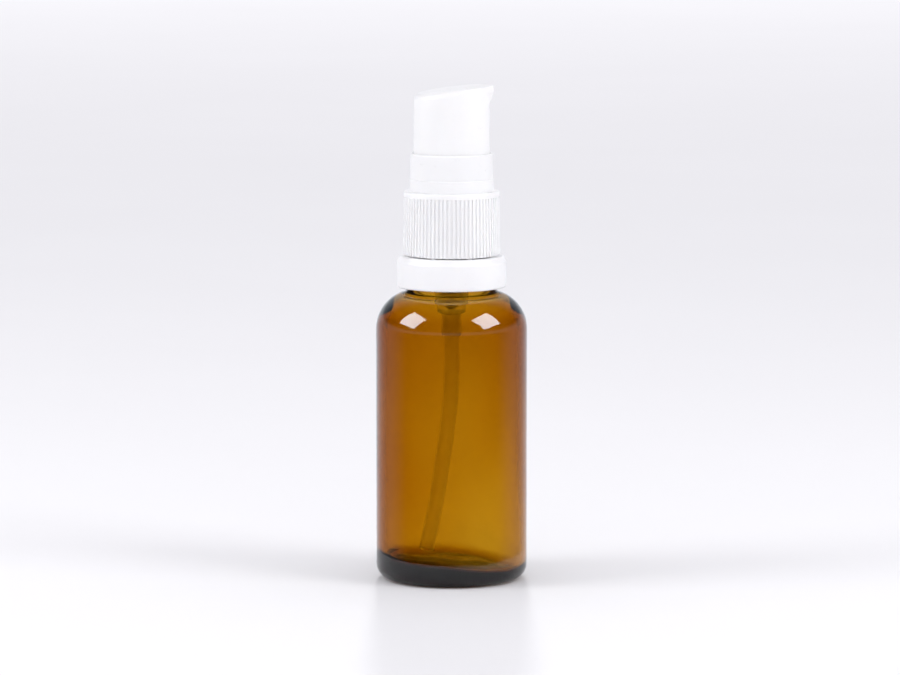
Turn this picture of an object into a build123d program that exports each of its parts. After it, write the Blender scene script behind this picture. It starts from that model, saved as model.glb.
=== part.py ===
"""Pump oil bottle: amber glass dropper bottle with a serum pump on a ribbed tamper-evident cap.

Millimetres, +Z up, origin in the middle of the base on the surface the bottle stands on.
The outlet of the head points along +X.
"""
from build123d import *
from math import cos, pi, radians, sin
import os

os.makedirs("parts", exist_ok=True)

# ---------------------------------------------------------------- driving dimensions
# glass
BOTTLE_R = 16.5
WALL = 2.2
HEEL_R = 3.2
SHOULDER_R = 8.5
SHOULDER_Z = 55.0
NECK_R = 9.0
NECK_BLEND_R = 2.2
NECK_BORE_R = 5.4
NECK_FLARE_R = 6.6
NECK_FLARE_Z = 70.0
NECK_TOP_Z = 79.0
FLOOR_Z = 3.7
FLOOR_TILT = 4.5
CAVITY_FILLET = 2.0
PUSH_UP = 0.8
PUSH_UP_R = 10.6
BEAD_R = 10.2
BEAD_LOW_Z = 66.7
BEAD_HIGH_Z = 68.6

# thread between the glass neck and the cap
PITCH = 3.0
THREAD_TURNS = 1.7
GLASS_ROOT_R = 8.0
GLASS_CREST_R = 8.9
GLASS_THREAD_Z = 70.9
CAP_ROOT_R = 9.15
CAP_CREST_R = 8.25

# tamper ring
RING_R = 11.95
RING_LOW_Z = 64.35
RING_HIGH_Z = 71.2

# ribbed screw cap
CAP_LOW_Z = 71.4
CAP_HIGH_Z = 85.3
CAP_LOW_R = 10.67
CAP_HIGH_R = 10.42
RIB_COUNT = 72
RIB_HIGH_Z = 84.1
GROOVE_DEPTH = 0.28
DECK = 1.2

# collar
COLLAR_R = 9.0
COLLAR_FOOT_R = 9.17
COLLAR_LEDGE_Z = 87.9
COLLAR_HIGH_Z = 93.6
COLLAR_BORE_R = 8.45
COLLAR_FLOOR = 1.0

# head
STROKE = 4.3
STOP_GAP = 0.4
HEAD_R = 8.25
HEAD_LOW_Z = CAP_HIGH_Z + COLLAR_FLOOR + STROKE + STOP_GAP
HEAD_WALL = 1.2
TOP_BACK_Z = 106.35
TOP_MID_Z = 107.5
TOP_FRONT_Z = 108.3
BEAK_REACH = 0.9
BEAK_TIP_R = 3.0
BEAK_LIP = 1.4
BEAK_DROP = 5.4
BEAK_EDGE_R = 0.45
HEAD_EDGE_R = 1.5
OUTLET_Z = 104.3
OUTLET_R = 1.35
CHANNEL_R = 0.9
SOCKET_LOW_Z = 92.0

# pump
RUNNING = 0.05
STEM_R = 2.0
STEM_BORE_R = 1.1
STEM_LOW_Z = 73.6
STEM_HIGH_Z = 98.5
BARREL_BORE_R = 2.9
BARREL_R = 3.65
BARREL_STEP_Z = 61.0
BARREL_FOOT_R = 3.15
BARREL_LOW_Z = 56.5
NIPPLE_R = 2.1
NIPPLE_LOW_Z = 53.6
FLANGE_R = 7.6
FLANGE_LOW_Z = 80.0
FLANGE_HIGH_Z = 81.2
TURRET_HIGH_Z = SOCKET_LOW_Z - STROKE - STOP_GAP
BALL_R = 1.2
SEAT_HOLE_R = 0.7
SEAT_Z = 57.6
CAGE_HIGH_Z = 61.7

# return spring
SPRING_WIRE = 0.5
SPRING_R = 2.0
SPRING_TURNS = 7.5
SPRING_HIGH_Z = 72.0

# dip tube
TUBE_R = 1.6
TUBE_BORE_R = 1.1
TUBE_TOP_Z = 56.9
TUBE_BEND_Z = 50.0
TUBE_BEND_R = 133.0
TUBE_LEAN = 9.5
TUBE_TAIL = 23.4
TUBE_TRIM = 1.5
TUBE_CUT_SLOPE = 0.45


# ---------------------------------------------------------------- helpers
def outline(*points):
    """Closed straight-sided outline in the XZ plane, as (radius, height) points."""
    with BuildSketch(Plane.XZ) as shape:
        with BuildLine():
            Polyline(*points, close=True)
        make_face()
    return shape.sketch


def tube_outline(inner, outer, low, high):
    """Rectangle in the XZ plane between two radii and two heights."""
    return outline((inner, low), (outer, low), (outer, high), (inner, high))


def thread_outline(root_r, crest_r, root_width, crest_width, z):
    """Trapezium of a thread's section at angle 0, with its middle at height z."""
    return outline(
        (root_r, z - root_width / 2),
        (crest_r, z - crest_width / 2),
        (crest_r, z + crest_width / 2),
        (root_r, z + root_width / 2),
    )


def helix_wire(pitch, turns, radius, z):
    """Right-handed helix that starts at angle 0 and height z."""
    with BuildLine() as line:
        Helix(pitch, pitch * turns, radius, center=(0, 0, z))
    return line.line


# ---------------------------------------------------------------- bottle
# The shoulder arc and the neck blend are tangent: their centres are the sum of the radii apart.
shoulder_x = BOTTLE_R - SHOULDER_R
blend_x = NECK_R + NECK_BLEND_R
blend_z = SHOULDER_Z + ((SHOULDER_R + NECK_BLEND_R) ** 2 - (blend_x - shoulder_x) ** 2) ** 0.5
touch = SHOULDER_R / (SHOULDER_R + NECK_BLEND_R)
touch_x = shoulder_x + (blend_x - shoulder_x) * touch
touch_z = SHOULDER_Z + (blend_z - SHOULDER_Z) * touch
inner_r = BOTTLE_R - WALL
inner_shoulder_r = SHOULDER_R - WALL
inner_blend_r = 1.2
inner_blend_x = NECK_FLARE_R + inner_blend_r
inner_shoulder_top = SHOULDER_Z + inner_shoulder_r

with BuildPart() as cavity:
    with BuildSketch(Plane.XZ):
        with BuildLine():
            Polyline((0, NECK_TOP_Z), (0, 0), (inner_r, 0), (inner_r, SHOULDER_Z))
            RadiusArc((inner_r, SHOULDER_Z), (shoulder_x, inner_shoulder_top), -inner_shoulder_r)
            Line((shoulder_x, inner_shoulder_top), (inner_blend_x, inner_shoulder_top))
            RadiusArc(
                (inner_blend_x, inner_shoulder_top),
                (NECK_FLARE_R, inner_shoulder_top + inner_blend_r),
                inner_blend_r,
            )
            Polyline(
                (NECK_FLARE_R, inner_shoulder_top + inner_blend_r),
                (NECK_BORE_R, NECK_FLARE_Z),
                (NECK_BORE_R, NECK_TOP_Z),
                (0, NECK_TOP_Z),
            )
        make_face()
    revolve(axis=Axis.Z)
    # The floor of the blown glass slopes: it is higher on the -X side.
    floor_plane = Plane(
        origin=(0, 0, FLOOR_Z),
        x_dir=(cos(radians(FLOOR_TILT)), 0, -sin(radians(FLOOR_TILT))),
        z_dir=(sin(radians(FLOOR_TILT)), 0, cos(radians(FLOOR_TILT))),
    )
    split(bisect_by=floor_plane, keep=Keep.TOP)
    fillet(cavity.faces().sort_by(Axis.Z)[0].edges(), CAVITY_FILLET)

with BuildPart() as glass_thread:
    sweep(
        thread_outline(GLASS_ROOT_R - 0.3, GLASS_CREST_R, 2.3, 0.8, GLASS_THREAD_Z),
        path=helix_wire(PITCH, THREAD_TURNS, GLASS_ROOT_R, GLASS_THREAD_Z),
        is_frenet=True,
    )

with BuildPart() as bottle:
    with BuildSketch(Plane.XZ):
        with BuildLine():
            SagittaArc((0, PUSH_UP), (PUSH_UP_R, 0), 0.12)
            Line((PUSH_UP_R, 0), (BOTTLE_R - HEEL_R, 0))
            RadiusArc((BOTTLE_R - HEEL_R, 0), (BOTTLE_R, HEEL_R), -HEEL_R)
            Line((BOTTLE_R, HEEL_R), (BOTTLE_R, SHOULDER_Z))
            RadiusArc((BOTTLE_R, SHOULDER_Z), (touch_x, touch_z), -SHOULDER_R)
            RadiusArc((touch_x, touch_z), (NECK_R, blend_z), NECK_BLEND_R)
            FilletPolyline(
                (NECK_R, blend_z),
                (NECK_R, BEAD_LOW_Z),
                (BEAD_R, BEAD_LOW_Z),
                (BEAD_R, BEAD_LOW_Z + 0.9),
                (GLASS_ROOT_R, BEAD_HIGH_Z + 0.9),
                (GLASS_ROOT_R, NECK_TOP_Z),
                (0, NECK_TOP_Z),
                radius=0.35,
            )
            Line((0, NECK_TOP_Z), (0, PUSH_UP))
        make_face()
    revolve(axis=Axis.Z)
    add(glass_thread.part)
    add(cavity.part, mode=Mode.SUBTRACT)
    fillet(bottle.edges().filter_by(GeomType.CIRCLE).group_by(Axis.Z)[-1].sort_by(SortBy.RADIUS)[0], 0.5)
bottle.part.label = "bottle"
export_step(bottle.part, "parts/bottle.step")

# ---------------------------------------------------------------- tamper ring
LIP_R = 9.4
LIP_HIGH_Z = BEAD_LOW_Z - 0.35
POCKET_R = 10.5
POCKET_HIGH_Z = 69.2
RING_CROWN_R = 9.6
RING_CHAMFER_Z = 69.9
BRIDGES = 8
BRIDGE_R = 10.1
BRIDGE_HEIGHT = 0.1

with BuildPart() as tamper_ring:
    with BuildSketch(Plane.XZ):
        with BuildLine():
            FilletPolyline(
                (POCKET_R, RING_LOW_Z),
                (RING_R, RING_LOW_Z),
                (RING_R, RING_CHAMFER_Z),
                (RING_R - 0.75, RING_HIGH_Z),
                (RING_CROWN_R, RING_HIGH_Z),
                radius=0.4,
            )
            Polyline(
                (RING_CROWN_R, RING_HIGH_Z),
                (RING_CROWN_R, POCKET_HIGH_Z + 0.5),
                (POCKET_R, POCKET_HIGH_Z),
                (POCKET_R, LIP_HIGH_Z),
                (LIP_R, LIP_HIGH_Z),
                (LIP_R, LIP_HIGH_Z - 0.6),
                (POCKET_R, RING_LOW_Z),
            )
        make_face()
    revolve(axis=Axis.Z)
    # stubs of the torn bridges that joined the ring to the cap
    with BuildSketch(Plane.XY.offset(RING_HIGH_Z)):
        with PolarLocations(BRIDGE_R, BRIDGES, start_angle=180 / BRIDGES):
            RectangleRounded(0.6, 0.9, 0.2)
    extrude(amount=BRIDGE_HEIGHT)
tamper_ring.part.label = "tamper_ring"
export_step(tamper_ring.part, "parts/tamper_ring.step")

# ---------------------------------------------------------------- closure
BOSS_LOW_Z = 82.5
BOSS_R = 7.2
DECK_HOLE_R = 5.2
GROOVE_WIDTH = pi * (CAP_LOW_R + CAP_HIGH_R) / RIB_COUNT / 2

with BuildPart() as cap_thread:
    sweep(
        thread_outline(CAP_ROOT_R + 0.3, CAP_CREST_R, 1.9, 0.6, GLASS_THREAD_Z + PITCH / 2),
        path=helix_wire(PITCH, THREAD_TURNS, CAP_ROOT_R, GLASS_THREAD_Z + PITCH / 2),
        is_frenet=True,
    )

with BuildPart() as closure:
    with BuildSketch(Plane.XZ):
        with BuildLine():
            FilletPolyline(
                (CAP_ROOT_R, CAP_LOW_Z),
                (CAP_LOW_R, CAP_LOW_Z),
                (CAP_HIGH_R, CAP_HIGH_Z),
                (DECK_HOLE_R, CAP_HIGH_Z),
                radius=0.4,
            )
            Polyline(
                (DECK_HOLE_R, CAP_HIGH_Z),
                (DECK_HOLE_R, BOSS_LOW_Z + 0.3),
                (DECK_HOLE_R + 0.3, BOSS_LOW_Z),
                (BOSS_R, BOSS_LOW_Z),
                (BOSS_R, CAP_HIGH_Z - DECK),
                (CAP_ROOT_R - 0.45, CAP_HIGH_Z - DECK),
                (CAP_ROOT_R, CAP_HIGH_Z - DECK - 0.5),
                (CAP_ROOT_R, CAP_LOW_Z),
            )
        make_face()
    revolve(axis=Axis.Z)
    add(cap_thread.part)
    # fine grip: the grooves run from the skirt's edge to just under the smooth band, and follow its draft
    groove_floor_low = CAP_LOW_R - GROOVE_DEPTH
    groove_floor_high = CAP_HIGH_R - GROOVE_DEPTH
    with BuildSketch(Plane.XZ, mode=Mode.PRIVATE) as groove_side:
        with BuildLine():
            Polyline(
                (groove_floor_low, CAP_LOW_Z - 0.2),
                (CAP_LOW_R + 1, CAP_LOW_Z - 0.2),
                (CAP_LOW_R + 1, RIB_HIGH_Z + 0.45),
                (groove_floor_high + 0.02, RIB_HIGH_Z),
                close=True,
            )
        make_face()
    groove = extrude(groove_side.sketch, amount=GROOVE_WIDTH / 2, both=True, mode=Mode.PRIVATE)
    with PolarLocations(0, RIB_COUNT):
        add(groove, mode=Mode.SUBTRACT)
closure.part.label = "closure"
export_step(closure.part, "parts/closure.step")

# ---------------------------------------------------------------- collar
SPIGOT_R = 4.3

with BuildPart() as collar:
    with BuildSketch(Plane.XZ):
        with BuildLine():
            Polyline(
                (COLLAR_BORE_R, COLLAR_HIGH_Z - 0.5),
                (COLLAR_BORE_R, CAP_HIGH_Z + COLLAR_FLOOR),
                (SPIGOT_R, CAP_HIGH_Z + COLLAR_FLOOR),
                (SPIGOT_R, BOSS_LOW_Z + 0.4),
                (DECK_HOLE_R - RUNNING, BOSS_LOW_Z + 0.4),
                (DECK_HOLE_R - RUNNING, CAP_HIGH_Z),
                (COLLAR_FOOT_R, CAP_HIGH_Z),
                (COLLAR_FOOT_R, COLLAR_LEDGE_Z),
                (COLLAR_R, COLLAR_LEDGE_Z + 0.1),
                (COLLAR_R, COLLAR_HIGH_Z - 0.3),
            )
            RadiusArc((COLLAR_R, COLLAR_HIGH_Z - 0.3), (COLLAR_R - 0.3, COLLAR_HIGH_Z), -0.3)
            Line((COLLAR_R - 0.3, COLLAR_HIGH_Z), (COLLAR_BORE_R, COLLAR_HIGH_Z - 0.1))
            Line((COLLAR_BORE_R, COLLAR_HIGH_Z - 0.1), (COLLAR_BORE_R, COLLAR_HIGH_Z - 0.5))
        make_face()
    revolve(axis=Axis.Z)
collar.part.label = "collar"
export_step(collar.part, "parts/collar.step")

# ---------------------------------------------------------------- neck gasket
with BuildPart() as neck_gasket:
    with BuildSketch(Plane.XY.offset(NECK_TOP_Z + 0.02)):
        Circle(FLANGE_R)
        Circle(BARREL_R + 0.05, mode=Mode.SUBTRACT)
    extrude(amount=FLANGE_LOW_Z - NECK_TOP_Z - 0.04)
    fillet(neck_gasket.edges().filter_by(GeomType.CIRCLE), 0.15)
neck_gasket.part.label = "neck_gasket"
export_step(neck_gasket.part, "parts/neck_gasket.step")

# ---------------------------------------------------------------- pump housing
# stepped barrel: wide for the piston, narrow for the inlet valve, then a nipple that grips the tube
INLET_BORE_R = 2.45
VENT_R = 0.4
VENT_Z = 77.0

with BuildPart() as pump_housing:
    with BuildSketch(Plane.XZ):
        with BuildLine():
            FilletPolyline(
                (BARREL_BORE_R, FLANGE_HIGH_Z),
                (FLANGE_R, FLANGE_HIGH_Z),
                (FLANGE_R, FLANGE_LOW_Z),
                (BARREL_R, FLANGE_LOW_Z),
                (BARREL_R, BARREL_STEP_Z - 0.6),
                (BARREL_FOOT_R, BARREL_STEP_Z - 1.2),
                (BARREL_FOOT_R, BARREL_LOW_Z),
                (NIPPLE_R, BARREL_LOW_Z),
                (NIPPLE_R, NIPPLE_LOW_Z),
                (TUBE_R, NIPPLE_LOW_Z),
                radius=0.2,
            )
            Polyline(
                (TUBE_R, NIPPLE_LOW_Z),
                (TUBE_R, TUBE_TOP_Z),
                (SEAT_HOLE_R, TUBE_TOP_Z),
                (SEAT_HOLE_R, SEAT_Z),
                (INLET_BORE_R, SEAT_Z + INLET_BORE_R - SEAT_HOLE_R),
                (INLET_BORE_R, BARREL_STEP_Z),
                (BARREL_BORE_R, BARREL_STEP_Z),
                (BARREL_BORE_R, FLANGE_HIGH_Z),
            )
        make_face()
    revolve(axis=Axis.Z)
    with BuildSketch(Plane.XZ):
        with Locations((0, VENT_Z)):
            Circle(VENT_R)
    extrude(amount=-BARREL_R - 1, mode=Mode.SUBTRACT)
pump_housing.part.label = "pump_housing"
export_step(pump_housing.part, "parts/pump_housing.step")

# ---------------------------------------------------------------- turret
GUIDE_R = 3.4
TURRET_LOW_Z = FLANGE_HIGH_Z + 0.03
TURRET_FLANGE_Z = BOSS_LOW_Z - 0.1
WEB_R = 4.1
WEB_HIGH_Z = 84.5

with BuildPart() as turret:
    revolve(tube_outline(STEM_R + 0.08, GUIDE_R, TURRET_LOW_Z, TURRET_HIGH_Z), axis=Axis.Z)
    revolve(tube_outline(GUIDE_R, FLANGE_R, TURRET_LOW_Z, TURRET_FLANGE_Z), axis=Axis.Z)
    fillet(turret.edges().filter_by(GeomType.CIRCLE).group_by(Axis.Z)[-1], 0.3)
    # stiffening webs between the flange and the guide
    with BuildSketch(Plane.XZ) as web_side:
        with BuildLine():
            Polyline(
                (GUIDE_R - 0.2, TURRET_FLANGE_Z),
                (WEB_R, TURRET_FLANGE_Z),
                (GUIDE_R - 0.2, WEB_HIGH_Z),
                close=True,
            )
        make_face()
    web = extrude(web_side.sketch, amount=0.3, both=True, mode=Mode.PRIVATE)
    with PolarLocations(0, 4):
        add(web)
turret.part.label = "turret"
export_step(turret.part, "parts/turret.step")

# ---------------------------------------------------------------- stem seal
SEAL_HIGH_Z = FLANGE_HIGH_Z - 0.05
SEAL_LOW_Z = SEAL_HIGH_Z - 0.95
SEAL_LIP = 0.3

with BuildPart() as stem_seal:
    revolve(tube_outline(STEM_R + 0.03, BARREL_BORE_R - 0.03, SEAL_LOW_Z, SEAL_HIGH_Z), axis=Axis.Z)
    bore_edges = stem_seal.edges().filter_by(GeomType.CIRCLE).sort_by(SortBy.RADIUS)[:2]
    chamfer(bore_edges, SEAL_LIP)
stem_seal.part.label = "stem_seal"
export_step(stem_seal.part, "parts/stem_seal.step")

# ---------------------------------------------------------------- stem
PISTON_HIGH_Z = 78.0
LOST_MOTION = 0.6
STEM_SHOULDER_Z = PISTON_HIGH_Z + LOST_MOTION + 0.1
SHOULDER_RIM_R = BARREL_BORE_R - 0.35
PORT_R = 0.5

with BuildPart() as stem:
    revolve(tube_outline(STEM_BORE_R, STEM_R, STEM_LOW_Z, STEM_HIGH_Z), axis=Axis.Z)
    revolve(tube_outline(STEM_BORE_R, SHOULDER_RIM_R, STEM_SHOULDER_Z, STEM_SHOULDER_Z + 0.8), axis=Axis.Z)
    chamfer(stem.edges().filter_by(GeomType.CIRCLE).group_by(Axis.Z)[-1].sort_by(SortBy.RADIUS)[-1], 0.3)
    # cross ports that the piston opens when it lifts off its seat
    for turn in (0, 90):
        with BuildSketch(Plane.XZ.rotated((0, 0, turn))):
            with Locations((0, STEM_LOW_Z + 2.6)):
                Circle(PORT_R)
        extrude(amount=STEM_R + 1, both=True, mode=Mode.SUBTRACT)
stem.part.label = "stem"
export_step(stem.part, "parts/stem.step")

# ---------------------------------------------------------------- poppet
# plug in the stem's foot: seat for the piston above, seat for the spring below
POPPET_R = 2.55
POPPET_HIGH_Z = STEM_LOW_Z - 0.05
SPIGOT_LOW_Z = 70.6
PLUG_HIGH_Z = 75.7
PLUG_R = STEM_BORE_R - 0.02
PILOT_R = 1.6

with BuildPart() as poppet:
    with BuildSketch(Plane.XZ):
        with BuildLine():
            Polyline(
                (0, SPIGOT_LOW_Z),
                (PILOT_R - 0.3, SPIGOT_LOW_Z),
                (PILOT_R, SPIGOT_LOW_Z + 0.4),
                (PILOT_R, SPRING_HIGH_Z),
                (POPPET_R, SPRING_HIGH_Z),
                (POPPET_R, POPPET_HIGH_Z - 0.7),
                (STEM_R - 0.1, POPPET_HIGH_Z),
                (PLUG_R, POPPET_HIGH_Z),
                (PLUG_R, PLUG_HIGH_Z - 0.3),
                (PLUG_R - 0.3, PLUG_HIGH_Z),
                (0, PLUG_HIGH_Z),
                close=True,
            )
        make_face()
    revolve(axis=Axis.Z)
poppet.part.label = "poppet"
export_step(poppet.part, "parts/poppet.step")

# ---------------------------------------------------------------- piston
PISTON_LOW_Z = 73.35
PISTON_FOOT_Z = PISTON_LOW_Z + 0.08
PISTON_BORE_R = STEM_R + RUNNING
LIP_RIM_R = BARREL_BORE_R - RUNNING
WAIST_R = BARREL_BORE_R - 0.3
LIP_LENGTH = 0.6
LIP_TAPER = 0.5

with BuildPart() as piston:
    with BuildSketch(Plane.XZ):
        with BuildLine():
            # thin lips at both ends bear on the bore, and the foot inside rests on the poppet's cone
            Polyline(
                (PISTON_BORE_R, PISTON_FOOT_Z),
                (PISTON_BORE_R, PISTON_HIGH_Z - LIP_TAPER),
                (STEM_R + 0.3, PISTON_HIGH_Z),
                (LIP_RIM_R, PISTON_HIGH_Z),
                (LIP_RIM_R, PISTON_HIGH_Z - LIP_LENGTH),
                (WAIST_R, PISTON_HIGH_Z - LIP_LENGTH - LIP_TAPER),
                (WAIST_R, PISTON_LOW_Z + LIP_LENGTH + LIP_TAPER),
                (LIP_RIM_R, PISTON_LOW_Z + LIP_LENGTH),
                (LIP_RIM_R, PISTON_LOW_Z),
                (LIP_RIM_R - 0.2, PISTON_LOW_Z),
                (BARREL_BORE_R - 0.4, PISTON_LOW_Z + LIP_LENGTH),
                (STEM_R + 0.3, PISTON_FOOT_Z),
                close=True,
            )
        make_face()
    revolve(axis=Axis.Z)
piston.part.label = "piston"
export_step(piston.part, "parts/piston.step")

# ---------------------------------------------------------------- ball cage
with BuildPart() as ball_cage:
    revolve(tube_outline(0.5, BARREL_BORE_R - 0.04, BARREL_STEP_Z, CAGE_HIGH_Z), axis=Axis.Z)
    with BuildSketch(Plane.XY.offset(BARREL_STEP_Z)):
        with PolarLocations(1.45, 3):
            SlotCenterToCenter(0.9, 0.7, rotation=90)
    extrude(amount=CAGE_HIGH_Z - BARREL_STEP_Z, mode=Mode.SUBTRACT)
ball_cage.part.label = "ball_cage"
export_step(ball_cage.part, "parts/ball_cage.step")

# ---------------------------------------------------------------- check ball
# The seat's cone is at 45 degrees, so the ball's middle is root two radii above the cone's apex.
ball_z = SEAT_Z - SEAT_HOLE_R + BALL_R * 2**0.5 + 0.03

with BuildPart(Plane.XY.offset(ball_z)) as check_ball:
    Sphere(BALL_R)
check_ball.part.label = "check_ball"
export_step(check_ball.part, "parts/check_ball.step")

# ---------------------------------------------------------------- return spring
spring_low = CAGE_HIGH_Z + SPRING_WIRE / 2 + 0.02
spring_height = SPRING_HIGH_Z - SPRING_WIRE / 2 - 0.02 - spring_low

with BuildPart() as return_spring:
    with BuildLine() as coil:
        Helix(spring_height / SPRING_TURNS, spring_height, SPRING_R, center=(0, 0, spring_low))
    with BuildSketch(Plane(origin=coil.line @ 0, z_dir=coil.line % 0)):
        Circle(SPRING_WIRE / 2)
    sweep(path=coil.line, is_frenet=True)
return_spring.part.label = "return_spring"
export_step(return_spring.part, "parts/return_spring.step")

# ---------------------------------------------------------------- dip tube
# Straight in the nipple, one long bend towards -X, then straight to the slanting cut, which opens to -Y.
def tube_point(angle):
    """Point of the tube's bend, at an angle in degrees from its start."""
    turn = radians(angle)
    return Vector(-TUBE_BEND_R * (1 - cos(turn)), 0, TUBE_BEND_Z - TUBE_BEND_R * sin(turn))


lean = radians(TUBE_LEAN)
tube_up = Vector(sin(lean), 0, cos(lean))
tube_end = tube_point(TUBE_LEAN) - tube_up * TUBE_TAIL
tube_cut = Plane(origin=tube_end + tube_up * TUBE_TRIM, z_dir=tube_up + Vector(0, TUBE_CUT_SLOPE, 0))

with BuildPart() as dip_tube:
    with BuildLine() as route:
        Line((0, 0, TUBE_TOP_Z - 0.05), (0, 0, TUBE_BEND_Z))
        ThreePointArc(tube_point(0), tube_point(TUBE_LEAN / 2), tube_point(TUBE_LEAN))
        Line(tube_point(TUBE_LEAN), tube_end)
    with BuildSketch(Plane.XY.offset(TUBE_TOP_Z - 0.05)):
        Circle(TUBE_R - 0.01)
        Circle(TUBE_BORE_R, mode=Mode.SUBTRACT)
    sweep(path=route.line)
    split(bisect_by=tube_cut, keep=Keep.TOP)
dip_tube.part.label = "dip_tube"
export_step(dip_tube.part, "parts/dip_tube.step")


# ---------------------------------------------------------------- head
def top_height(x):
    """Height of the head's slanting, slightly crowned top above a point on the X axis."""
    slope = (TOP_FRONT_Z - TOP_BACK_Z) / 2 / HEAD_R
    bulge = TOP_MID_Z - (TOP_FRONT_Z + TOP_BACK_Z) / 2
    return TOP_MID_Z + slope * x - bulge * (x / HEAD_R) ** 2


def disc(radius, height):
    """Level round face on the axis."""
    with BuildSketch(Plane.XY.offset(height)) as face:
        Circle(radius)
    return face.sketch.faces()[0]


def beak_section(height, reach):
    """The head's level outline where its front stands out by a given reach."""
    with BuildSketch(Plane.XY.offset(height)) as section:
        with BuildLine():
            CenterArc((0, 0), HEAD_R, 0, 360)
            CenterArc((HEAD_R + reach - BEAK_TIP_R, 0), BEAK_TIP_R, 0, 360)
        make_hull()
    return section.sketch.faces()[0]


def under_top(plan, drop):
    """Column that stands on a level face and ends at the head's top less a drop."""
    side = HEAD_R * 2
    with BuildPart() as column:
        extrude(plan, amount=side * 2)
        with BuildSketch(Plane.XZ):
            with BuildLine():
                ThreePointArc(*((x, top_height(x) - drop) for x in (-side, 0, side)))
                Polyline(
                    (side, top_height(side) - drop),
                    (side, HEAD_LOW_Z),
                    (-side, HEAD_LOW_Z),
                    (-side, top_height(-side) - drop),
                )
            make_face()
        extrude(amount=side, both=True, mode=Mode.INTERSECT)
    return column.part


beak_high_z = top_height(HEAD_R + BEAK_REACH) - BEAK_LIP
beak_low_z = beak_high_z - BEAK_DROP

with BuildPart() as flared:
    # the front flares out in a hollow curve, then runs straight up to the top
    flare = [
        beak_section(beak_low_z + BEAK_DROP * rise, BEAK_REACH * rise**1.8)
        for rise in (0.12, 0.34, 0.56, 0.78, 1.0)
    ]
    loft(flare)
    add(under_top(flare[-1], 0))
    fillet(flared.edges().group_by(Axis.Z)[-1], BEAK_EDGE_R)

with BuildPart() as rounded:
    # wider rounding of the back and the sides, which runs out past the beak's flanks
    with BuildSketch(Plane.XY.offset(HEAD_LOW_Z), mode=Mode.PRIVATE) as tongue:
        Circle(HEAD_R)
        with Locations((HEAD_R, 0)):
            Rectangle(HEAD_R * 2, HEAD_R * 2)
    add(under_top(tongue.sketch.faces()[0], 0))
    top_edges = rounded.faces().sort_by(Axis.Z)[-1].edges()
    fillet(top_edges.sort_by(Axis.X)[:-1], HEAD_EDGE_R)

with BuildPart() as head_hollow:
    add(under_top(disc(HEAD_R - HEAD_WALL, HEAD_LOW_Z), HEAD_WALL))
    with BuildSketch(Plane.XY.offset(SOCKET_LOW_Z)):
        Circle(STEM_R + 1.3)
    extrude(amount=HEAD_R * 2, mode=Mode.SUBTRACT)
    with BuildSketch(Plane.YZ):
        with Locations((0, OUTLET_Z)):
            Circle(OUTLET_R + 0.9)
    extrude(amount=HEAD_R, mode=Mode.SUBTRACT)
    with BuildSketch(Plane.XY.offset(SOCKET_LOW_Z + 3)):
        with PolarLocations(HEAD_R / 2, 4, start_angle=45):
            Rectangle(HEAD_R, 0.8)
    extrude(amount=HEAD_R * 2, mode=Mode.SUBTRACT)

with BuildPart() as actuator:
    extrude(disc(HEAD_R, HEAD_LOW_Z), amount=beak_high_z - HEAD_LOW_Z)
    add(flared.part)
    add(rounded.part, mode=Mode.INTERSECT)
    add(head_hollow.part, mode=Mode.SUBTRACT)
    with BuildSketch(Plane.XY.offset(HEAD_LOW_Z)):
        Circle(STEM_R + RUNNING)
    extrude(amount=STEM_HIGH_Z + 0.1 - HEAD_LOW_Z, mode=Mode.SUBTRACT)
    with BuildSketch(Plane.XY.offset(STEM_HIGH_Z)):
        Circle(CHANNEL_R)
    extrude(amount=OUTLET_Z + CHANNEL_R - STEM_HIGH_Z, mode=Mode.SUBTRACT)
    with BuildSketch(Plane.YZ):
        with Locations((0, OUTLET_Z)):
            Circle(CHANNEL_R)
    extrude(amount=HEAD_R * 2, mode=Mode.SUBTRACT)
    with BuildSketch(Plane.YZ.offset(HEAD_R - 2.2)):
        with Locations((0, OUTLET_Z)):
            Circle(OUTLET_R)
    extrude(amount=HEAD_R, mode=Mode.SUBTRACT)
actuator.part.label = "actuator"
export_step(actuator.part, "parts/actuator.step")

# ---------------------------------------------------------------- nozzle insert
NOZZLE_BORE_R = 0.55

with BuildPart() as nozzle_insert:
    with BuildSketch(Plane.YZ.offset(HEAD_R - 2.15)):
        with Locations((0, OUTLET_Z)):
            Circle(OUTLET_R - 0.02)
            Circle(NOZZLE_BORE_R, mode=Mode.SUBTRACT)
    extrude(amount=1.9)
    chamfer(nozzle_insert.edges().group_by(Axis.X)[-1].sort_by(SortBy.RADIUS)[0], 0.25)
nozzle_insert.part.label = "nozzle_insert"
export_step(nozzle_insert.part, "parts/nozzle_insert.step")
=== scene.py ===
"""Looks of the pump oil bottle: amber glass, white serum pump, plain studio floor and light.

Lengths are metres in the CAD frame: +Z is up, the origin is in the middle of the base, and the
head's outlet points along +X.
"""
import bpy
import math
from mathutils import Matrix, Vector, noise


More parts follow.
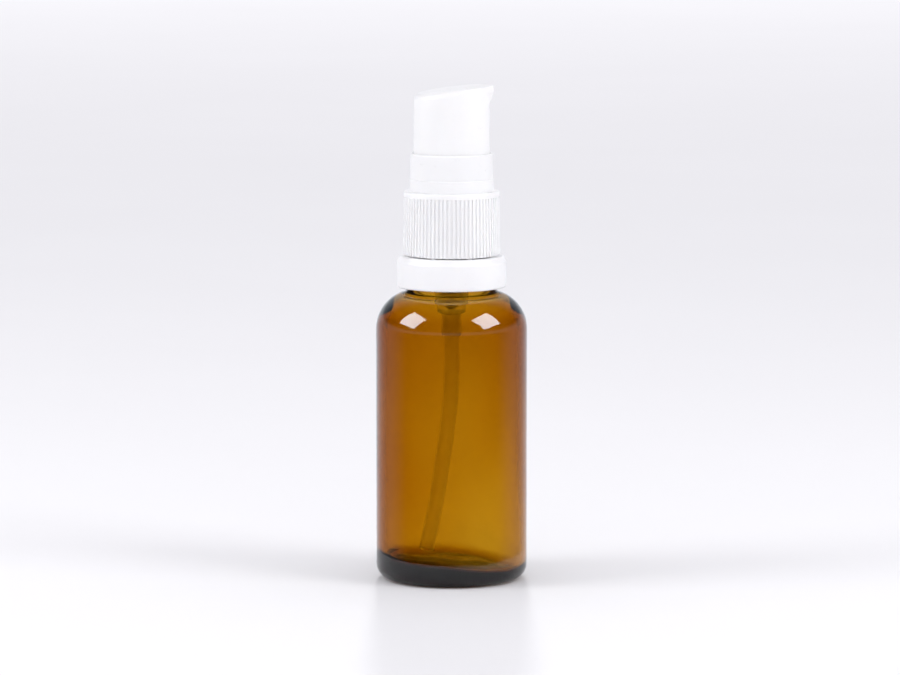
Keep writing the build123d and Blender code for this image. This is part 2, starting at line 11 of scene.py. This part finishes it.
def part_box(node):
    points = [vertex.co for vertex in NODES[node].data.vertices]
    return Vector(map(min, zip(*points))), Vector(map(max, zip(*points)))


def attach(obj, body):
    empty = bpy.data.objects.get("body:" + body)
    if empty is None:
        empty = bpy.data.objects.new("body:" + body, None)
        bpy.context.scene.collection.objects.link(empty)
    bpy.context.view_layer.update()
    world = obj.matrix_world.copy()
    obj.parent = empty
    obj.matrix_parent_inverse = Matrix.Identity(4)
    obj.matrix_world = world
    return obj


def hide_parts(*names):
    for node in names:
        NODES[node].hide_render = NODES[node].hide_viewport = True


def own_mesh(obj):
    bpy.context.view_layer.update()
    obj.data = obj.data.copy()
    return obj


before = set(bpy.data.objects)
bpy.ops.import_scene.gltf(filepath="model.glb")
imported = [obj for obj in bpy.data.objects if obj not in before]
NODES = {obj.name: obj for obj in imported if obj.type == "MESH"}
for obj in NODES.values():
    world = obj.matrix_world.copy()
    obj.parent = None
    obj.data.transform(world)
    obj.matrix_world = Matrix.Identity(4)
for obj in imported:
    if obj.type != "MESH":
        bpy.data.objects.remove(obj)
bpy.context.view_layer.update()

MM = 0.001

# ---------------------------------------------------------------- sizes
BOTTLE_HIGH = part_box("bottle")[1]
BODY_R = BOTTLE_HIGH.x
NECK_TOP = BOTTLE_HIGH.z
WALL = 2.2 * MM
INNER_R = BODY_R - WALL
SHOULDER_WALL = 1.0 * MM
THINNED_TURNS = (20.0, 62.0)  # degrees along the shoulder between which its wall gets thinner
HEEL_R = 3.2 * MM
SHOULDER_R = 8.5 * MM
SHOULDER_Z = 55.0 * MM
NECK_R = 9.0 * MM
NECK_BLEND_R = 2.2 * MM
INNER_BLEND_R = 2.0 * MM
BORE_R = 5.4 * MM
FLARE_R = 8.0 * MM
FLARE_Z = 70.0 * MM
ROOT_R = 8.0 * MM
CREST_R = 8.9 * MM
BEAD_R = 10.2 * MM
BEAD_Z = 66.7 * MM
BEAD_HEIGHT = 0.9 * MM
BEAD_SIDE = 0.75 * MM
BEAD_EDGE = 0.35 * MM
ROOT_EASE = 0.1 * MM
PLAIN_LIP = 0.6 * MM
LIP_R = 0.5 * MM
THREAD_Z = 70.9 * MM
PITCH = 3.0 * MM
THREAD_TURNS = 1.7
FLOOR_Z = 3.7 * MM
FLOOR_ROUND = 2.0 * MM
FLOOR_TILT = math.radians(4.5)
PUSH_UP = 0.8 * MM
PUSH_UP_R = 10.6 * MM


# ---------------------------------------------------------------- node helpers
def add_node(tree, kind, inputs, **settings):
    """Adds a shader node. An input's value is a number, a colour or another node's output."""
    node = tree.nodes.new("ShaderNode" + kind)
    for key, value in settings.items():
        setattr(node, key, value)
    for key, value in inputs.items():
        if isinstance(value, bpy.types.NodeSocket):
            tree.links.new(value, node.inputs[key])
        else:
            node.inputs[key].default_value = value
    return node


class Nodes:
    """Short way to build a material's node tree."""

    def __init__(self, name):
        self.material = bpy.data.materials.new(name)
        self.material.use_nodes = True
        self.tree = self.material.node_tree
        self.tree.nodes.clear()
        self.output = self.tree.nodes.new("ShaderNodeOutputMaterial")

    def add(self, kind, inputs):
        return add_node(self.tree, kind, inputs)

    def noise(self, scale, detail, roughness, stretch=None):
        vector = self.add("TexCoord", {}).outputs["Object"]
        if stretch:
            vector = self.add("Mapping", {"Vector": vector, "Scale": stretch}).outputs["Vector"]
        inputs = {"Vector": vector, "Scale": scale, "Detail": detail, "Roughness": roughness}
        return self.add("TexNoise", inputs).outputs["Fac"]

    def ramp(self, factor, *stops):
        """Colour or grey ramp; a stop is (place, value) with the value a grey or an RGB triple."""
        node = self.add("ValToRGB", {"Fac": factor})
        elements = node.color_ramp.elements
        while len(elements) < len(stops):
            elements.new(0.5)
        for element, (place, value) in zip(elements, stops):
            element.position = place
            rgb = value if isinstance(value, tuple) else (value, value, value)
            element.color = (*rgb, 1.0)
        return node.outputs["Color"]

    def bump(self, height, distance, strength, normal=None):
        inputs = {"Height": height, "Distance": distance, "Strength": strength}
        if normal is not None:
            inputs["Normal"] = normal
        return self.add("Bump", inputs).outputs["Normal"]

    def surface(self, **sockets):
        """Principled shader. A keyword is a socket's name with _ for a space."""
        inputs = {key.replace("_", " "): value for key, value in sockets.items()}
        shader = self.add("BsdfPrincipled", inputs)
        self.tree.links.new(shader.outputs[0], self.output.inputs["Surface"])


# ---------------------------------------------------------------- materials
def amber_glass():
    """Glass coloured by absorption in its depth, with a faint ripple, seeds and smears."""
    m = Nodes("amber_glass")
    ripple = m.noise(90.0, 2.0, 0.4, stretch=(1.0, 1.0, 0.45))
    seeds = m.noise(900.0, 2.0, 0.5)
    normal = m.bump(ripple, 0.00012, 0.35)
    smear = m.noise(60.0, 5.0, 0.6)
    m.surface(
        Base_Color=(1.0, 0.97, 0.9, 1.0),
        Roughness=m.ramp(smear, (0.35, 0.008), (0.75, 0.035)),
        IOR=1.5,
        Specular_IOR_Level=0.3,
        Transmission_Weight=1.0,
        Normal=m.bump(seeds, 0.00001, 0.2, normal),
    )
    absorb = m.add("VolumeAbsorption", {"Color": (0.865, 0.72, 0.02, 1.0), "Density": 1600.0})
    m.tree.links.new(absorb.outputs[0], m.output.inputs["Volume"])
    return m.material


def white_plastic(name, tone, grain=2600.0, draw=False):
    """Moulded white polypropylene: fine orange peel, faint flow marks and uneven gloss.

    draw adds the upright lines that a ribbed mould leaves.
    """
    m = Nodes(name)
    flow = m.noise(110.0, 3.0, 0.5, stretch=(1.0, 1.0, 0.3))
    dust = m.noise(750.0, 6.0, 0.7)
    peel = m.noise(grain, 2.0, 0.5)
    shade = tuple(0.965 * c for c in tone)
    colour = m.ramp(flow, (0.3, shade), (0.7, tone))
    fine = m.bump(peel, 0.000012, 0.35)
    if draw:
        lines = m.noise(500.0, 3.0, 0.6, stretch=(1.0, 1.0, 0.04))
        fine = m.bump(lines, 0.00001, 0.3, fine)
    m.surface(
        Base_Color=colour,
        Roughness=m.ramp(dust, (0.3, 0.26), (0.75, 0.42)),
        IOR=1.49,
        Subsurface_Weight=0.25,
        Subsurface_Radius=(0.0012, 0.0011, 0.001),
        Subsurface_Scale=1.0,
        Normal=m.bump(flow, 0.00004, 0.25, fine),
    )
    return m.material


def natural_plastic():
    """Unpigmented polyethylene: milky and translucent."""
    m = Nodes("natural_plastic")
    haze = m.noise(260.0, 4.0, 0.6)
    m.surface(
        Base_Color=m.ramp(haze, (0.3, (0.97, 0.965, 0.95)), (0.7, (0.995, 0.99, 0.98))),
        Roughness=m.ramp(haze, (0.3, 0.28), (0.7, 0.38)),
        IOR=1.16,
        Transmission_Weight=0.955,
        Normal=m.bump(haze, 0.00002, 0.3),
    )
    return m.material


def gasket_rubber():
    """Soft pale grey washer."""
    m = Nodes("gasket_rubber")
    grain = m.noise(1500.0, 5.0, 0.65)
    m.surface(
        Base_Color=m.ramp(grain, (0.3, (0.68, 0.67, 0.64)), (0.7, (0.78, 0.77, 0.74))),
        Roughness=m.ramp(grain, (0.3, 0.55), (0.7, 0.7)),
        Normal=m.bump(grain, 0.00003, 0.5),
    )
    return m.material


def steel(name, rough_low, rough_high, scale):
    """Steel with drawing marks of the given noise scale."""
    m = Nodes(name)
    drawn = m.noise(scale, 5.0, 0.6, stretch=(1.0, 1.0, 0.2))
    m.surface(
        Base_Color=m.ramp(drawn, (0.3, (0.55, 0.55, 0.56)), (0.7, (0.68, 0.68, 0.69))),
        Metallic=1.0,
        Roughness=m.ramp(drawn, (0.3, rough_low), (0.7, rough_high)),
        Normal=m.bump(drawn, 0.000006, 0.4),
    )
    return m.material


def floor_material():
    m = Nodes("floor")
    mottle = m.noise(6.0, 3.0, 0.5)
    m.surface(
        Base_Color=m.ramp(mottle, (0.3, (0.875, 0.875, 0.885)), (0.7, (0.885, 0.885, 0.895))),
        Roughness=1.0,
        Specular_IOR_Level=0.0,
    )
    return m.material


# ---------------------------------------------------------------- mesh helpers
def arc(centre_r, centre_z, radius, start, end, steps):
    """Points of an arc in the (radius, height) plane, angles in degrees."""
    points = []
    for i in range(steps + 1):
        turn = math.radians(start + (end - start) * i / steps)
        points.append((centre_r + radius * math.cos(turn), centre_z + radius * math.sin(turn)))
    return points


def run(start, end, steps):
    """Points of a straight stretch, without its first one."""
    return [
        (start[0] + (end[0] - start[0]) * i / steps, start[1] + (end[1] - start[1]) * i / steps)
        for i in range(1, steps + 1)
    ]


ON_AXIS = 1e-7


def lathe(name, rows, segments, shape=None):
    """Smooth surface of revolution through rows of (radius, height).

    shape(angle, row number, radius, height) gives the radius and height after shaping.
    """
    vertices, loops = [], []
    for number, (radius, height) in enumerate(rows):
        if radius < ON_AXIS:
            vertices.append((0.0, 0.0, height))
            loops.append([len(vertices) - 1] * segments)
            continue
        loop = []
        for i in range(segments):
            angle = 2 * math.pi * i / segments
            r, z = shape(angle, number, radius, height) if shape else (radius, height)
            vertices.append((r * math.cos(angle), r * math.sin(angle), z))
            loop.append(len(vertices) - 1)
        loops.append(loop)
    faces = []
    for low, high in zip(loops, loops[1:]):
        for i in range(segments):
            j = (i + 1) % segments
            corners = [low[i], low[j], high[j], high[i]]
            faces.append(tuple(dict.fromkeys(corners)))
    mesh = bpy.data.meshes.new(name)
    mesh.from_pydata(vertices, [], faces)
    mesh.polygons.foreach_set("use_smooth", [True] * len(faces))
    piece = bpy.data.objects.new(name, mesh)
    bpy.context.scene.collection.objects.link(piece)
    return piece


def bell(value, middle, half_width):
    """1 at the middle, easing to 0 at half_width away."""
    t = min(1.0, abs(value - middle) / half_width)
    return 0.5 + 0.5 * math.cos(math.pi * t)


def step(value, low, high):
    """0 below low, 1 above high, eased between."""
    t = max(0.0, min(1.0, (value - low) / (high - low)))
    return t * t * (3 - 2 * t)


# ---------------------------------------------------------------- glass bottle
GLASS_SEGMENTS = 256
THREAD_HALF_ROOT = 1.1 * MM
THREAD_HALF_CREST = 0.4 * MM
THREAD_FADE = 0.06
KNURLS = 64
KNURL_R = 11.95 * MM
KNURL_HEIGHT = 0.07 * MM
KNURL_HALF_LENGTH = 1.2 * MM
FOOT_BAND = (PUSH_UP_R * 1.02, (BODY_R - HEEL_R) * 0.99)
WAVE_CELL = 9.0 * MM
WAVE_RISE = 0.6  # waves are this much slower up the wall than round it
WAVE = 0.16 * MM
OUTER_DIP = 0.05 * MM
EASE_Z = 6 * MM
THINNING = 1.0 * MM
THINNING_LEAST = 0.35
THINNING_SIDE = (-10 * MM, 12 * MM)
FLOOR_REACH = (FLOOR_Z + 1.0 * MM, FLOOR_Z + 9.0 * MM)
FLOOR_SINK = 0.7 * MM
FLOOR_SINK_SIDE = (-4 * MM, 14 * MM)
FLOOR_SWELL = 0.2 * MM


def thread_height(angle, height):
    """How far the neck's thread stands out at an angle and a height, from 0 to 1."""
    best = 0.0
    for turn in range(3):
        travel = angle / (2 * math.pi) + turn
        if travel > THREAD_TURNS:
            continue
        away = abs(height - THREAD_Z - PITCH * travel)
        flank = 1.0 - step(away, THREAD_HALF_CREST, THREAD_HALF_ROOT)
        start = step(travel, 0.0, THREAD_FADE)
        end = 1.0 - step(travel, THREAD_TURNS - THREAD_FADE, THREAD_TURNS)
        best = max(best, flank * start * end)
    return best


def glass_outline():
    """Rows of the bottle: from its underside's middle, over the lip, to its floor's middle."""
    shoulder_x = BODY_R - SHOULDER_R
    blend_x = NECK_R + NECK_BLEND_R
    blend_z = SHOULDER_Z + math.sqrt((SHOULDER_R + NECK_BLEND_R) ** 2 - (blend_x - shoulder_x) ** 2)
    lean = math.degrees(math.atan2(blend_z - SHOULDER_Z, blend_x - shoulder_x))
    rows = []
    for i in range(10):
        rows.append((PUSH_UP_R * i / 10, PUSH_UP * math.cos(math.pi / 2 * i / 10) ** 1.2))
    rows.append((PUSH_UP_R, 0.0))
    rows += run((PUSH_UP_R, 0.0), (BODY_R - HEEL_R, 0.0), 8)
    rows += arc(BODY_R - HEEL_R, HEEL_R, HEEL_R, -90, 0, 14)[1:]
    rows += run((BODY_R, HEEL_R), (BODY_R, SHOULDER_Z), 56)
    rows += arc(shoulder_x, SHOULDER_Z, SHOULDER_R, 0, lean, 22)[1:]
    rows += arc(blend_x, blend_z, NECK_BLEND_R, 180 + lean, 180, 10)[1:]
    # bead under the thread, with a 45 degree top that runs into the thread's root
    rows += arc(NECK_R + BEAD_EDGE, BEAD_Z - BEAD_EDGE, BEAD_EDGE, 180, 90, 4)
    rows += arc(BEAD_R - BEAD_EDGE, BEAD_Z + BEAD_EDGE, BEAD_EDGE, -90, 0, 4)
    rows += arc(BEAD_R - BEAD_EDGE, BEAD_Z + BEAD_SIDE, BEAD_EDGE, 0, 45, 3)
    root_z = BEAD_Z + BEAD_HEIGHT + BEAD_R - ROOT_R - BEAD_EDGE
    rows += run(rows[-1], (ROOT_R + ROOT_EASE, root_z - ROOT_EASE), 6)
    rows += run((ROOT_R, root_z), (ROOT_R, NECK_TOP - PLAIN_LIP), 76)
    rows += arc(ROOT_R - LIP_R, NECK_TOP - LIP_R, LIP_R, 0, 90, 6)[1:]
    rows += arc(BORE_R + LIP_R, NECK_TOP - LIP_R, LIP_R, 90, 180, 6)
    # down the bore, which widens before the shoulder
    inner_top = SHOULDER_Z + SHOULDER_R - SHOULDER_WALL
    flare_x, flare_z = FLARE_R + INNER_BLEND_R, inner_top + INNER_BLEND_R
    rows += run((BORE_R, NECK_TOP - LIP_R), (BORE_R, FLARE_Z), 8)
    rows += run((BORE_R, FLARE_Z), (FLARE_R, flare_z), 8)
    rows += arc(flare_x, flare_z, INNER_BLEND_R, 180, 270, 8)[1:]
    for i in range(1, 25):
        turn = 90.0 * (1.0 - i / 24)
        thinned = (WALL - SHOULDER_WALL) * step(turn, *THINNED_TURNS)
        radius = SHOULDER_R - WALL + thinned
        spot_r = shoulder_x + radius * math.cos(math.radians(turn))
        spot_z = SHOULDER_Z + radius * math.sin(math.radians(turn))
        if spot_r > flare_x:
            rows.append((spot_r, spot_z))
    rows += run((INNER_R, SHOULDER_Z), (INNER_R, FLOOR_Z + FLOOR_ROUND), 56)
    rows += arc(INNER_R - FLOOR_ROUND, FLOOR_Z + FLOOR_ROUND, FLOOR_ROUND, 0, -90, 8)[1:]
    rows += run((INNER_R - FLOOR_ROUND, FLOOR_Z), (0.0, FLOOR_Z), 14)
    return rows


def make_bottle():
    rows = glass_outline()
    lip_row = max(range(len(rows)), key=lambda i: rows[i][1])
    thread_rows = {i for i in range(lip_row) if abs(rows[i][0] - ROOT_R) < 0.05 * MM}

    def shape(angle, number, radius, height):
        x, y = radius * math.cos(angle), radius * math.sin(angle)
        spot = Vector((x, y, height * WAVE_RISE)) / WAVE_CELL
        if number in thread_rows:
            return radius + (CREST_R - ROOT_R) * thread_height(angle, height), height
        if number > lip_row:
            # the inside of blown glass: uneven wall, thinner at the foot of the +X side
            below = 1.0 - step(height, SHOULDER_Z, SHOULDER_Z + EASE_Z)
            wavy = noise.noise(spot) * WAVE * below
            side = THINNING_LEAST + (1.0 - THINNING_LEAST) * step(x, *THINNING_SIDE)
            thin = max(0.0, side * (1.0 - height / SHOULDER_Z))
            wavy += THINNING * thin * step(radius, INNER_R - FLOOR_ROUND, INNER_R)
            # a floor that slopes down to +X and swells
            low = 1.0 - step(height, *FLOOR_REACH)
            sink = math.tan(FLOOR_TILT) * x + FLOOR_SINK * step(x, *FLOOR_SINK_SIDE)
            swell = noise.noise(spot * 1.4 + Vector((7.0, 3.0, 1.0))) * FLOOR_SWELL
            away = min(1.0, radius / (6.0 * MM))
            return radius + wavy * away, height + (swell - sink) * low
        if height < 0.2 * MM and FOOT_BAND[0] < radius < FOOT_BAND[1]:
            ridge = 0.5 + 0.5 * math.cos(KNURLS * angle)
            across = bell(radius, KNURL_R, KNURL_HALF_LENGTH)
            return radius, height + KNURL_HEIGHT * ridge * across
        if HEEL_R < height < SHOULDER_Z:
            ease = step(height, HEEL_R, HEEL_R + EASE_Z)
            ease *= 1.0 - step(height, SHOULDER_Z - EASE_Z, SHOULDER_Z)
            dip = (0.5 + 0.5 * noise.noise(spot * 0.8 + Vector((2.0, 9.0, 4.0)))) * OUTER_DIP
            return radius - dip * ease, height
        return radius, height

    piece = lathe("amber_bottle", rows, GLASS_SEGMENTS, shape)
    piece.data.materials.append(amber_glass())
    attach(piece, "bottle")
    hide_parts("bottle")


# ---------------------------------------------------------------- return spring
SPRING_WIRE_R = 0.25 * MM
SPRING_TURNS = 7.5
SPRING_END_TURNS = 0.9
SPRING_STEPS = 40  # rings of vertices per turn
WIRE_SIDES = 12


def make_spring():
    """Compression spring of round wire with a closed coil at each end.
    """
    low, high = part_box("return_spring")
    coil_r = high.x - SPRING_WIRE_R
    bottom, top = low.z + SPRING_WIRE_R, high.z - SPRING_WIRE_R
    closed_pitch = 2.1 * SPRING_WIRE_R
    open_turns = SPRING_TURNS - 2 * SPRING_END_TURNS
    open_pitch = (top - bottom - 2 * SPRING_END_TURNS * closed_pitch) / open_turns
    count = int(SPRING_TURNS * SPRING_STEPS)
    vertices, faces = [], []
    for i in range(count + 1):
        turns = i / SPRING_STEPS
        opened = min(max(turns - SPRING_END_TURNS, 0.0), open_turns)
        height = bottom + opened * open_pitch + (turns - opened) * closed_pitch
        angle = 2 * math.pi * turns
        out = Vector((math.cos(angle), math.sin(angle), 0.0))
        centre = out * coil_r + Vector((0.0, 0.0, height))
        for k in range(WIRE_SIDES):
            roll = 2 * math.pi * k / WIRE_SIDES
            rise = Vector((0.0, 0.0, SPRING_WIRE_R * math.sin(roll)))
            vertices.append(centre + out * (SPRING_WIRE_R * math.cos(roll)) + rise)
    for i in range(count):
        for k in range(WIRE_SIDES):
            here, beside = i * WIRE_SIDES + k, i * WIRE_SIDES + (k + 1) % WIRE_SIDES
            faces.append((here, here + WIRE_SIDES, beside + WIRE_SIDES, beside))
    faces.append(tuple(range(WIRE_SIDES)))
    faces.append(tuple(count * WIRE_SIDES + k for k in reversed(range(WIRE_SIDES))))
    mesh = bpy.data.meshes.new("spring_wire")
    mesh.from_pydata(vertices, [], faces)
    mesh.polygons.foreach_set("use_smooth", [len(face) == 4 for face in faces])
    piece = bpy.data.objects.new("spring_wire", mesh)
    bpy.context.scene.collection.objects.link(piece)
    mesh.materials.append(steel("spring_steel", 0.2, 0.36, 900.0))
    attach(piece, "pump")
    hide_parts("return_spring")
    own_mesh(piece)


# ---------------------------------------------------------------- CAD nodes
def dress(node, material):
    """Gives a CAD node its material."""
    data = NODES[node].data
    if data.materials:
        for i in range(len(data.materials)):
            data.materials[i] = material
    else:
        data.materials.append(material)


NATURAL_NODES = (
    "nozzle_insert", "turret", "pump_housing", "dip_tube",
    "ball_cage", "stem", "poppet", "piston",
)
RUBBER_NODES = ("neck_gasket", "stem_seal")


def dress_nodes():
    dress("actuator", white_plastic("head_white", (0.955, 0.952, 0.948)))
    dress("collar", white_plastic("collar_white", (0.955, 0.952, 0.952)))
    dress("closure", white_plastic("closure_white", (0.955, 0.953, 0.955), draw=True))
    dress("tamper_ring", white_plastic("ring_white", (0.955, 0.952, 0.96), grain=2200.0))
    natural = natural_plastic()
    for node in NATURAL_NODES:
        dress(node, natural)
    rubber = gasket_rubber()
    for node in RUBBER_NODES:
        dress(node, rubber)
    dress("check_ball", steel("ball_steel", 0.04, 0.1, 400.0))


# ---------------------------------------------------------------- stage, light and camera
CAMERA_PLACE = (-0.00035, -1.130, 0.1976)
CAMERA_PITCH = math.radians(7.29)
LENS_MM = 208.6
SENSOR_MM = 36.0
CAMERA_FAR = 50.0
FLOOR_R = 6.0
NEAR_FLOOR_R = 0.048
FLOOR_SEGMENTS = 96
CARD_TINT = (0.86, 0.95, 1.0)
AIM_Z = 0.055  # height that the lights face


def make_floor():
    """White paper. Only its part close to the bottle is reflected, or it would veil the glass."""
    material = floor_material()
    near_rows = [(NEAR_FLOOR_R * i / 8, 0.0) for i in range(9)]
    near = lathe("floor_near", near_rows, FLOOR_SEGMENTS)
    far = lathe("floor", [(NEAR_FLOOR_R, 0.0), (FLOOR_R, 0.0)], FLOOR_SEGMENTS)
    far.visible_glossy = False
    for floor in (near, far):
        floor.data.materials.append(material)


def softbox(name, azimuth, elevation, distance, size, watts, roll=0.0, gloss_only=False):
    """Area light that faces the bottle. Azimuth is from the camera's side towards +X, in degrees.

    A gloss_only box is a bright card: it is reflected, and lights nothing diffusely.
    """
    turn, lift = math.radians(azimuth), math.radians(elevation)
    level = math.cos(lift)
    away = Vector((math.sin(turn) * level, -math.cos(turn) * level, math.sin(lift)))
    light = bpy.data.lights.new(name, "AREA")
    light.shape = "RECTANGLE"
    light.size, light.size_y = size
    light.energy = watts
    lamp = bpy.data.objects.new(name, light)
    lamp.location = Vector((0.0, 0.0, AIM_Z)) + away * distance
    rolled = away.to_track_quat("Z", "Y").to_matrix() @ Matrix.Rotation(math.radians(roll), 3, "Z")
    lamp.rotation_euler = rolled.to_euler()
    light.color = CARD_TINT if gloss_only else (1.0, 1.0, 1.0)
    lamp.visible_diffuse = not gloss_only
    lamp.visible_glossy = gloss_only
    lamp.visible_transmission = False
    lamp.visible_camera = False
    bpy.context.scene.collection.objects.link(lamp)


def make_world():
    """Even white studio for light that falls on things, darker surroundings for reflections."""
    world = bpy.data.worlds.new("studio")
    world.use_nodes = True
    tree = world.node_tree
    tree.nodes.clear()

    def add(kind, inputs, **settings):
        return add_node(tree, kind, inputs, **settings)

    def calc(operation, a, b=0.0):
        return add("Math", {0: a, 1: b}, operation=operation).outputs[0]

    def band(value, middle, half_width, soft):
        """1 within half_width of the middle, 0 beyond half_width + soft."""
        away = calc("ABSOLUTE", calc("SUBTRACT", value, middle))
        inputs = {"Value": away, "From Min": half_width + soft, "From Max": half_width}
        return add("MapRange", inputs, interpolation_type="SMOOTHSTEP").outputs["Result"]

    axes = add("SeparateXYZ", {"Vector": add("TexCoord", {}).outputs["Generated"]}).outputs
    per_radian = math.degrees(1.0)
    bearing = calc("ARCTAN2", axes["X"], calc("MULTIPLY", axes["Y"], -1.0))
    side = calc("ABSOLUTE", calc("MULTIPLY", bearing, per_radian))
    lift = calc("MULTIPLY", calc("ARCSINE", axes["Z"]), per_radian)
    # low wall round the back and the sides
    beside = calc("MULTIPLY", band(side, 180.0, 70.0, 42.0), 0.36)
    wall = calc("MULTIPLY", band(lift, -8.0, 14.0, 6.0), beside)
    # tall panel behind the bottle
    tall = calc("MULTIPLY", band(lift, 16.0, 34.0, 16.0), 0.56)
    behind = calc("MULTIPLY", band(side, 180.0, 18.0, 48.0), tall)
    panels = calc("ADD", wall, behind)
    # thin line just above the horizon, and the ground
    rim = calc("MULTIPLY", band(lift, 4.0, 2.0, 3.0), 0.5)
    ground = calc("MULTIPLY", band(lift, -90.0, 50.0, 25.0), 0.6)
    seen = calc("MAXIMUM", calc("MAXIMUM", panels, rim), ground)
    gloss = add("Background", {"Color": (0.9, 0.93, 1.0, 1.0), "Strength": seen})
    even = add("Background", {"Color": (0.96, 0.945, 1.0, 1.0), "Strength": 0.68})
    ray = add("LightPath", {}).outputs["Is Glossy Ray"]
    mix = add("MixShader", {0: ray, 1: even.outputs[0], 2: gloss.outputs[0]})
    add("OutputWorld", {"Surface": mix.outputs[0]})
    bpy.context.scene.world = world


def make_lights():
    make_world()
    softbox("card_left", -72, 32, 0.8, (0.46, 0.46), 9.0, roll=-14.0, gloss_only=True)
    softbox("card_right", 63, 33, 0.8, (0.48, 0.46), 9.6, roll=14.0, gloss_only=True)
    softbox("softbox_left", -74, 32, 0.8, (0.35, 0.35), 1.85)
    softbox("softbox_right", 62, 32, 0.8, (0.35, 0.35), 2.0)
    softbox("back_light", 180, 28, 6.0, (0.4, 0.4), 123.0)
    softbox("front_fill", 0, 8, 1.6, (1.2, 0.8), 2.0)


def make_camera():
    camera = bpy.data.cameras.new("camera")
    camera.lens = LENS_MM
    camera.sensor_width = SENSOR_MM
    camera.clip_end = CAMERA_FAR
    holder = bpy.data.objects.new("camera", camera)
    holder.location = CAMERA_PLACE
    holder.rotation_euler = (math.pi / 2 - CAMERA_PITCH, 0.0, 0.0)
    bpy.context.scene.collection.objects.link(holder)
    bpy.context.scene.camera = holder


bpy.context.scene.view_settings.view_transform = "Standard"
make_camera()
make_bottle()
make_spring()
dress_nodes()
make_floor()
make_lights()
